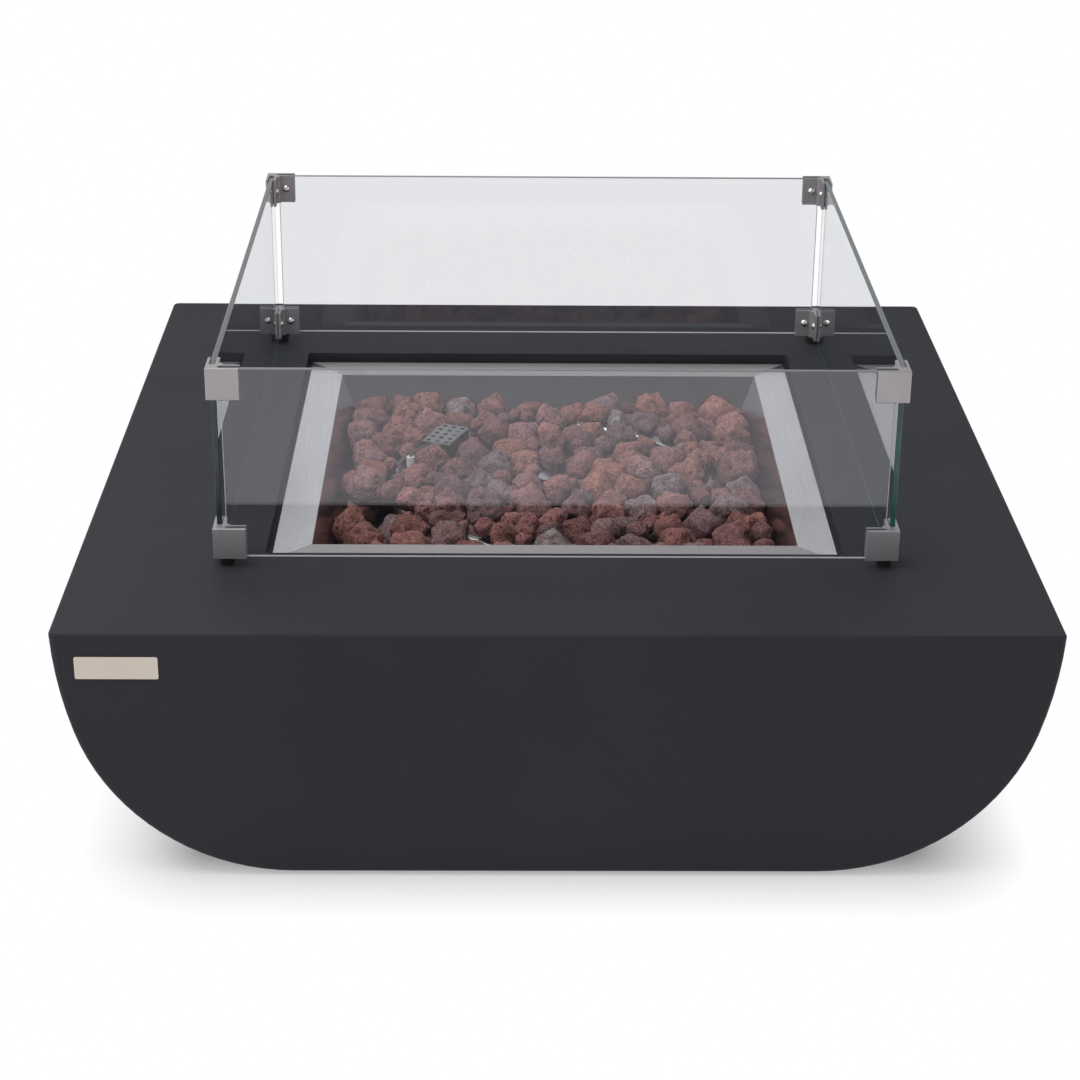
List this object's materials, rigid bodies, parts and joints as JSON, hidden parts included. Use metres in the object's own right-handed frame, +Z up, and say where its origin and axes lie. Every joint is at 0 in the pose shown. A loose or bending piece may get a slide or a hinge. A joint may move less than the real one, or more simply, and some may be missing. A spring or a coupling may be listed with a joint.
{
  "type": "fire pit table",
  "caption": "Square low fire pit table: a concrete shell with curved sides, a rock-filled steel burner pan in its top and a loose glass wind screen with corner clips.",
  "frame": {"origin": "on the ground under the middle of the table", "axes": "+X to the right seen from the name plate, +Y to the back, where the gas panel is, +Z up"},
  "size_m": [1.0698, 1.1032, 0.5273],
  "materials": {
    "concrete": "charcoal pigmented fibre-reinforced concrete, sealed, satin matt",
    "pad_rubber": "black moulded rubber, matt",
    "plate_nickel": "warm nickel, finely brushed",
    "pan_steel": "stainless sheet, satin flange and bright walls",
    "burner_steel": "stainless tube, plain",
    "clip_steel": "cast stainless, fine satin",
    "screw_chrome": "polished dome head",
    "screw_steel": "zinc-plated screw steel",
    "brass": "machined brass, plain",
    "valve_metal": "die-cast light metal, plain",
    "ceramic": "white unglazed ceramic",
    "glass": "clear tempered soda glass, polished edges, green in the edge",
    "lava": "porous red-brown volcanic rock, matt",
    "knob_black": "black heat-resistant moulding",
    "housing_black": "black moulding",
    "battery": "battery sleeve",
    "liner": "thin black rubber strip"
  },
  "bodies": {
    "table": {"table_body": "concrete", "foot_pads": "pad_rubber", "foot_screws": "screw_steel", "name_plate": "plate_nickel", "burner_pan": "pan_steel", "burner_ring": "burner_steel", "burner_saddles": "burner_steel", "inlet_nipple": "brass", "inlet_locknuts": "brass", "air_mixer": "brass", "inlet_elbow": "brass", "gas_pipe": "burner_steel", "pipe_nuts": "brass", "pilot_guard": "burner_steel", "pilot_rivets": "screw_steel", "pilot_bracket": "burner_steel", "thermocouple": "brass", "electrode_insulator": "ceramic", "spark_electrode": "burner_steel", "electrode_holder": "burner_steel", "control_panel": "pan_steel", "panel_inserts": "brass", "panel_screws": "screw_steel", "gas_valve": "valve_metal", "gas_inlet": "brass", "valve_nut": "screw_steel", "igniter_housing": "housing_black", "igniter_battery": "battery", "igniter_nut": "housing_black", "igniter_terminals": "brass", "lava_bed": "lava", "lava_rocks": "lava"},
    "screen": {"glass_front": "glass", "glass_right": "glass", "glass_back": "glass", "glass_left": "glass", "lower_clip_front_left": "clip_steel", "lower_clip_front_right": "clip_steel", "lower_clip_back_right": "clip_steel", "lower_clip_back_left": "clip_steel", "upper_clip_front_left": "clip_steel", "upper_clip_front_right": "clip_steel", "upper_clip_back_right": "clip_steel", "upper_clip_back_left": "clip_steel", "clip_screws": "screw_chrome", "slot_liners": "liner", "screen_feet": "pad_rubber", "foot_bolts": "screw_steel"},
    "stem_collar": {"stem_collar": "screw_steel"},
    "knob": {"valve_stem": "screw_steel", "control_knob": "knob_black"},
    "button": {"igniter_button": "housing_black"}
  },
  "joints": [
    {"name": "screen_lift", "type": "slide", "parent": "table", "child": "screen", "axis": [0, 0, 1], "range_m": [0, 0.3]},
    {"name": "knob_push", "type": "slide", "parent": "table", "child": "stem_collar", "axis": [0, -1, 0], "range_m": [0, 0.003], "stiffness_N_per_m": 1500},
    {"name": "knob_turn", "type": "hinge", "parent": "stem_collar", "child": "knob", "pos_m": [0.11, 0.537, 0.1495], "axis": [0, 1, 0], "range_deg": [0, 180]},
    {"name": "button_push", "type": "slide", "parent": "table", "child": "button", "axis": [0, -1, 0], "range_m": [0, 0.004], "stiffness_N_per_m": 1000}
  ]
}
